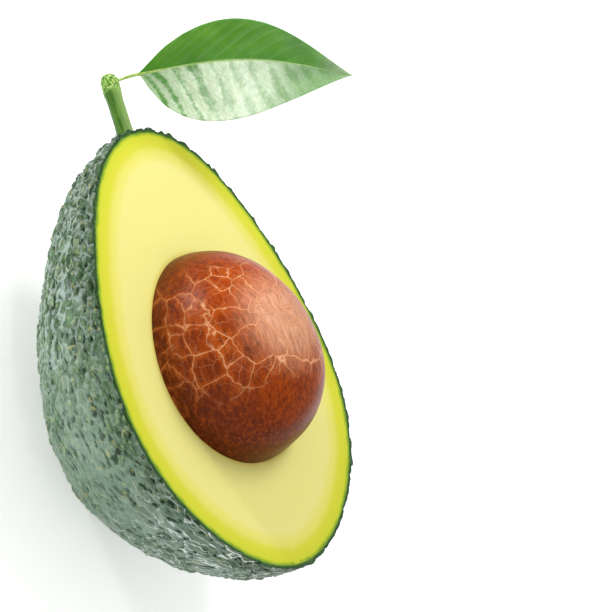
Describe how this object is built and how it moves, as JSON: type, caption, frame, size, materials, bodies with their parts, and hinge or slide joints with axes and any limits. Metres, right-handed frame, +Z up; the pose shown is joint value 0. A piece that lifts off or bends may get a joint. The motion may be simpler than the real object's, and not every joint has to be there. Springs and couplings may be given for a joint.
{
  "type": "avocado half",
  "caption": "Halved avocado with pebbled green peel, yellow flesh, whole brown seed, short stem and a leaf, lying on its rounded back with the cut face up.",
  "frame": {"origin": "centre of the small flat spot on the rounded back, on the surface that the fruit rests on", "axes": "+Z up, square to the level cut face; +Y along the fruit from the blunt end towards the stem; +X across the cut face, towards the leaf's tip"},
  "size_m": [0.0741, 0.1138, 0.0726],
  "materials": {
    "peel": "dark green pebbled skin with a waxy grey-green bloom, semi-gloss on the bumps",
    "flesh": "smooth buttery cut flesh, moist satin, yellow-green band next to the peel",
    "seed": "smooth brown seed coat, satin, with a net of fine pale cracks",
    "stem": "fresh green stem, matte to satin, with a paler knobbly head",
    "leaf": "glossy green leaf with paler midrib and side veins"
  },
  "bodies": {
    "root": {"peel": "peel", "flesh": "flesh", "seed": "seed", "stem": "stem", "leaf": "leaf"}
  },
  "joints": []
}
